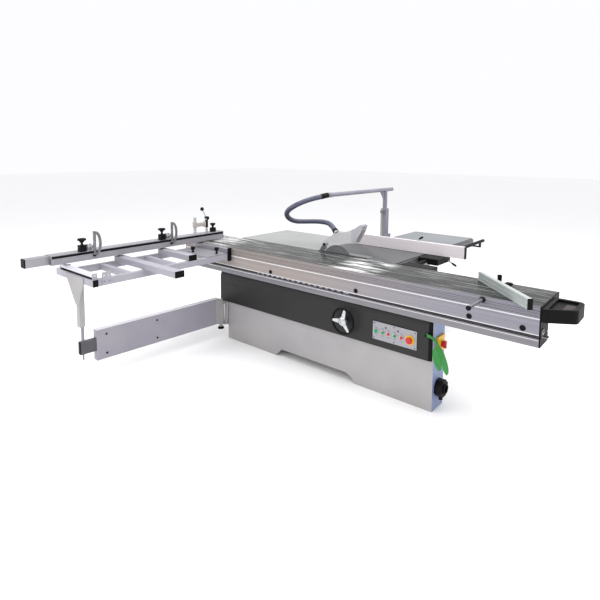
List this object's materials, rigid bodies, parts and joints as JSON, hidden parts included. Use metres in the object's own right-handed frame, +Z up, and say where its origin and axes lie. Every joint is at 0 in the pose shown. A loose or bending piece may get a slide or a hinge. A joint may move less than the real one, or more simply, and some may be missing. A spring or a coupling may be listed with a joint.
{
  "type": "sliding table saw",
  "caption": "Panel saw with a long sliding carriage, outrigger with crosscut fence, tilting blade unit, rip fence, extension tables and an overhead dust hood on a hose",
  "frame": {"origin": "middle of the saw's whole footprint, on the floor", "axes": "+X along the carriage toward its hand grip, +Y across the saw away from the carriage's free side, +Z up"},
  "size_m": [3.38, 3.598, 1.3731],
  "materials": {
    "cream_paint": "smooth powder coat",
    "charcoal_paint": "satin powder coat",
    "aluminium": "anodised",
    "cast_iron": "ground and painted",
    "sheet_paint": "satin grey",
    "steel": "bright",
    "black_plastic": "moulded",
    "red_plastic": "gloss",
    "green_plastic": "gloss",
    "yellow_plastic": "moulded",
    "hood_plastic": "milky",
    "hose_plastic": "ribbed",
    "silver_paint": "satin powder coat",
    "belt_rubber": "matt"
  },
  "bodies": {
    "frame": {"cabinet_front": "cream_paint", "cabinet_main": "cream_paint", "band_panel": "charcoal_paint", "control_plate": "aluminium", "base_rail": "aluminium", "main_table": "cast_iron", "table_insert": "aluminium", "outfeed_table": "sheet_paint", "side_table": "sheet_paint", "rip_rail": "charcoal_paint", "electrical_boxes": "yellow_plastic", "lower_post": "silver_paint", "overhead_arm": "silver_paint", "suction_hose": "hose_plastic", "arm_pivot": "charcoal_paint", "trunnions": "cast_iron"},
    "tilt_unit": {"tilt_frame": "cast_iron", "riving_knife": "steel", "guard": "hood_plastic"},
    "rise_unit": {"rise_unit": "cast_iron", "drive_belt": "belt_rubber"},
    "rotor": {"motor_rotor": "steel"},
    "main_blade": {"blade": "steel"},
    "scorer": {"scoring_blade": "steel"},
    "handwheel": {"handwheel": "black_plastic"},
    "start_main": {"start_button_main": "green_plastic"},
    "stop_main": {"stop_button_main": "red_plastic"},
    "start_scorer": {"start_button_scorer": "green_plastic"},
    "stop_scorer": {"stop_button_scorer": "red_plastic"},
    "emergency_stop": {"emergency_stop": "red_plastic"},
    "isolator_knob": {"isolator_knob": "red_plastic"},
    "push_stick": {"push_stick": "green_plastic"},
    "carriage": {"carriage": "aluminium", "carriage_caps": "black_plastic", "end_grip": "black_plastic", "push_handle": "steel", "outrigger_near_rail": "cream_paint", "outrigger_far_rail": "cream_paint", "outrigger_bars": "cream_paint", "outrigger_end_beam": "cream_paint", "outrigger_clamp_beam": "sheet_paint", "support_leg": "cream_paint"},
    "roller_cage": {"roller_cage": "black_plastic"},
    "latch": {"carriage_latch": "aluminium"},
    "mitre_fence": {"mitre_fence": "aluminium"},
    "end_roller": {"end_roller": "steel"},
    "crosscut_fence": {"crosscut_fence": "aluminium"},
    "fence_extension": {"fence_extension": "aluminium"},
    "stop_outer": {"stop_block_outer": "black_plastic"},
    "stop_inner": {"stop_block_inner": "black_plastic"},
    "stop_arm_outer": {"stop_arm_outer": "aluminium"},
    "stop_arm_inner": {"stop_arm_inner": "aluminium"},
    "clamp": {"clamp_post": "steel"},
    "clamp_lever": {"clamp_lever": "steel"},
    "clamp_arm": {"clamp_arm": "cream_paint"},
    "swing_arm": {"swing_arm": "cream_paint"},
    "slide_tube": {"slide_tube": "charcoal_paint"},
    "rip_carrier": {"rip_carrier": "black_plastic"},
    "rip_fence": {"rip_fence": "aluminium"},
    "rip_lock": {"rip_lock_lever": "black_plastic"}
  },
  "joints": [
    {"name": "carriage_slide", "type": "slide", "parent": "frame", "child": "carriage", "axis": [1, 0, 0], "range_m": [-1.5, 1.5]},
    {"name": "cage_slide", "type": "slide", "parent": "frame", "child": "roller_cage", "axis": [1, 0, 0], "range_m": [-0.75, 0.75]},
    {"name": "arm_swing", "type": "hinge", "parent": "frame", "child": "swing_arm", "pos_m": [-1.197, -0.246, 0.24], "axis": [0, 0, 1], "range_deg": [-50.2, 50.2]},
    {"name": "arm_reach", "type": "slide", "parent": "swing_arm", "child": "slide_tube", "axis": [-0.0518, -0.9987, 0], "range_m": [0, 0.75]},
    {"name": "latch_turn", "type": "hinge", "parent": "carriage", "child": "latch", "pos_m": [1.53, -0.226, 0.722], "axis": [1, 0, 0], "range_deg": [0, 90]},
    {"name": "mitre_shift", "type": "slide", "parent": "carriage", "child": "mitre_fence", "axis": [1, 0, 0], "range_m": [-0.6, 0.02]},
    {"name": "roller_spin", "type": "hinge", "parent": "carriage", "child": "end_roller", "pos_m": [-1.282, -1.504, 0.848], "axis": [1, 0, 0], "continuous": true},
    {"name": "fence_swivel", "type": "hinge", "parent": "carriage", "child": "crosscut_fence", "pos_m": [-1.472, -0.283, 0.88], "axis": [0, 0, 1], "range_deg": [-45, 45]},
    {"name": "extension_slide", "type": "slide", "parent": "crosscut_fence", "child": "fence_extension", "axis": [0, -1, 0], "range_m": [-0.15, 0.6]},
    {"name": "stop_outer_slide", "type": "slide", "parent": "crosscut_fence", "child": "stop_outer", "axis": [0, 1, 0], "range_m": [-0.2, 0.35]},
    {"name": "stop_inner_slide", "type": "slide", "parent": "crosscut_fence", "child": "stop_inner", "axis": [0, 1, 0], "range_m": [-0.1, 0.15]},
    {"name": "stop_outer_flip", "type": "hinge", "parent": "stop_outer", "child": "stop_arm_outer", "pos_m": [-1.43, -1.361, 0.98], "axis": [0, -1, 0], "range_deg": [0, 90]},
    {"name": "stop_inner_flip", "type": "hinge", "parent": "stop_inner", "child": "stop_arm_inner", "pos_m": [-1.43, -0.661, 0.98], "axis": [0, -1, 0], "range_deg": [0, 90]},
    {"name": "clamp_swivel", "type": "hinge", "parent": "crosscut_fence", "child": "clamp", "pos_m": [-1.454, -0.196, 1], "axis": [0, 0, 1], "range_deg": [0, 100]},
    {"name": "clamp_turn", "type": "hinge", "parent": "clamp", "child": "clamp_lever", "pos_m": [-1.454, -0.196, 1.086], "axis": [-1, 0, 0], "range_deg": [0, 90]},
    {"name": "clamp_press", "type": "slide", "parent": "clamp", "child": "clamp_arm", "axis": [0, 0, -1], "range_m": [0, 0.0125]},
    {"name": "blade_tilt", "type": "hinge", "parent": "frame", "child": "tilt_unit", "pos_m": [-0.182, 0.169, 0.87], "axis": [1, 0, 0], "range_deg": [0, 45]},
    {"name": "blade_rise", "type": "slide", "parent": "tilt_unit", "child": "rise_unit", "axis": [0, 0, 1], "range_m": [-0.085, 0]},
    {"name": "blade_spin", "type": "hinge", "parent": "rise_unit", "child": "main_blade", "pos_m": [-0.182, 0.169, 0.7875], "axis": [0, 1, 0], "continuous": true},
    {"name": "rotor_spin", "type": "hinge", "parent": "rise_unit", "child": "rotor", "pos_m": [-0.182, 0.299, 0.41], "axis": [0, 1, 0], "continuous": true},
    {"name": "scorer_spin", "type": "hinge", "parent": "tilt_unit", "child": "scorer", "pos_m": [0.048, 0.169, 0.812], "axis": [0, 1, 0], "continuous": true},
    {"name": "handwheel_turn", "type": "hinge", "parent": "frame", "child": "handwheel", "pos_m": [0.188, -0.261, 0.48], "axis": [0, -1, 0], "range_deg": [0, 1080]},
    {"name": "start_main_push", "type": "slide", "parent": "frame", "child": "start_main", "axis": [0, 1, 0], "range_m": [0, 0.003], "stiffness_N_per_m": 300},
    {"name": "stop_main_push", "type": "slide", "parent": "frame", "child": "stop_main", "axis": [0, 1, 0], "range_m": [0, 0.003], "stiffness_N_per_m": 300},
    {"name": "start_scorer_push", "type": "slide", "parent": "frame", "child": "start_scorer", "axis": [0, 1, 0], "range_m": [0, 0.003], "stiffness_N_per_m": 300},
    {"name": "stop_scorer_push", "type": "slide", "parent": "frame", "child": "stop_scorer", "axis": [0, 1, 0], "range_m": [0, 0.003], "stiffness_N_per_m": 300},
    {"name": "emergency_push", "type": "slide", "parent": "frame", "child": "emergency_stop", "axis": [0, 1, 0], "range_m": [0, 0.004]},
    {"name": "isolator_turn", "type": "hinge", "parent": "frame", "child": "isolator_knob", "pos_m": [0.894, -0.111, 0.45], "axis": [1, 0, 0], "range_deg": [0, 90]},
    {"name": "push_stick_swing", "type": "hinge", "parent": "frame", "child": "push_stick", "pos_m": [0.833, -0.228, 0.527], "axis": [0, 1, 0], "range_deg": [-10, 50]},
    {"name": "carrier_slide", "type": "slide", "parent": "frame", "child": "rip_carrier", "axis": [0, 1, 0], "range_m": [-0.19, 0.44]},
    {"name": "rip_fence_slide", "type": "slide", "parent": "rip_carrier", "child": "rip_fence", "axis": [1, 0, 0], "range_m": [-0.3, 0.12]},
    {"name": "rip_lock_turn", "type": "hinge", "parent": "rip_fence", "child": "rip_lock", "pos_m": [0.304, 0.699, 0.946], "axis": [-1, 0, 0], "range_deg": [0, 80]}
  ],
  "couplings": [
    {"joint": "cage_slide", "follows": "carriage_slide", "ratio": 0.5},
    {"joint": "arm_swing", "follows": "carriage_slide", "rad_per_m": 0.583},
    {"joint": "clamp_press", "follows": "clamp_turn", "m_per_rad": 0.00764},
    {"joint": "rotor_spin", "follows": "blade_spin", "ratio": 0.71429},
    {"joint": "handwheel_turn", "follows": "blade_tilt", "ratio": 24}
  ]
}
